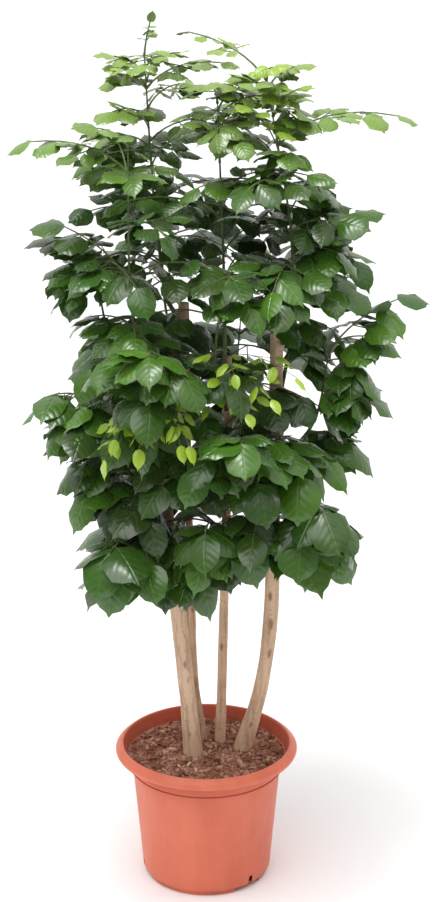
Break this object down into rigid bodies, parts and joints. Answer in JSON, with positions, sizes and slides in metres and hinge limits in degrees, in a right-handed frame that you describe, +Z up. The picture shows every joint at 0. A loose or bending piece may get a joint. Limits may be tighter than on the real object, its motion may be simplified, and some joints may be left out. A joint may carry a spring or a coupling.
{
  "type": "potted china doll plant",
  "caption": "Tall leafy indoor plant with bare woody stems and a crown of glossy compound leaves, in a round terracotta-coloured plastic pot filled with bark soil.",
  "frame": {"origin": "centre of the pot's underside, on the flat pad under its floor", "axes": "+Z up along the pot's axis; the front of the plant faces -Y; +X is to the right seen from the front"},
  "size_m": [0.683, 0.603, 1.518],
  "materials": {
    "pot_plastic": "satin",
    "bark_soil": "matte",
    "bark": "matte",
    "leaf": "satin"
  },
  "bodies": {
    "root": {"pot": "pot_plastic", "soil": "bark_soil", "trunk_left_front": "bark", "trunk_left_back": "bark", "trunk_middle": "bark", "trunk_right": "bark", "shoot_left_front_low": "leaf", "shoot_left_front_side": "leaf", "shoot_left_front_face": "leaf", "shoot_left_front_mid": "leaf", "shoot_left_front_top": "leaf", "shoot_left_back_low": "leaf", "shoot_left_back_mid": "leaf", "shoot_left_back_top": "leaf", "shoot_middle_low": "leaf", "shoot_middle_face": "leaf", "shoot_middle_front": "leaf", "shoot_middle_back": "leaf", "shoot_middle_top": "leaf", "shoot_right_low": "leaf", "shoot_right_side": "leaf", "shoot_right_back": "leaf", "shoot_right_top": "leaf"}
  },
  "joints": []
}
